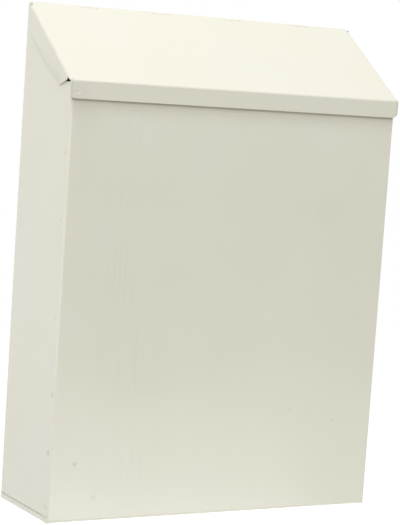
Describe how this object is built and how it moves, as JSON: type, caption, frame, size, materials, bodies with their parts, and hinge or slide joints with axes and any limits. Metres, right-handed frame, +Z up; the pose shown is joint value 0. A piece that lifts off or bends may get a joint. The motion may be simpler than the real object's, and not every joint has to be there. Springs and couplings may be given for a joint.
{
  "type": "wall mounted post box",
  "caption": "Wall mounted post box of folded, painted sheet steel, with a sloping lid that lifts on a rolled hinge and holes to screw its back to a wall.",
  "frame": {"origin": "centre of the wall hole pattern, on the rear face that lies against the wall", "axes": "+X to the right seen from the front, +Y into the wall, +Z up"},
  "size_m": [0.2536, 0.0759, 0.337],
  "materials": {
    "cream_paint": "smooth semi-gloss enamel",
    "hinge_wire": "drawn wire"
  },
  "bodies": {
    "box": {"body_shell": "cream_paint", "back_panel": "cream_paint", "hinge_pin": "hinge_wire"},
    "lid": {"lid": "cream_paint"}
  },
  "joints": [
    {"name": "lid_hinge", "type": "hinge", "parent": "box", "child": "lid", "pos_m": [0, -0.0043, 0.16505], "axis": [-1, 0, 0], "range_deg": [0, 125]}
  ]
}
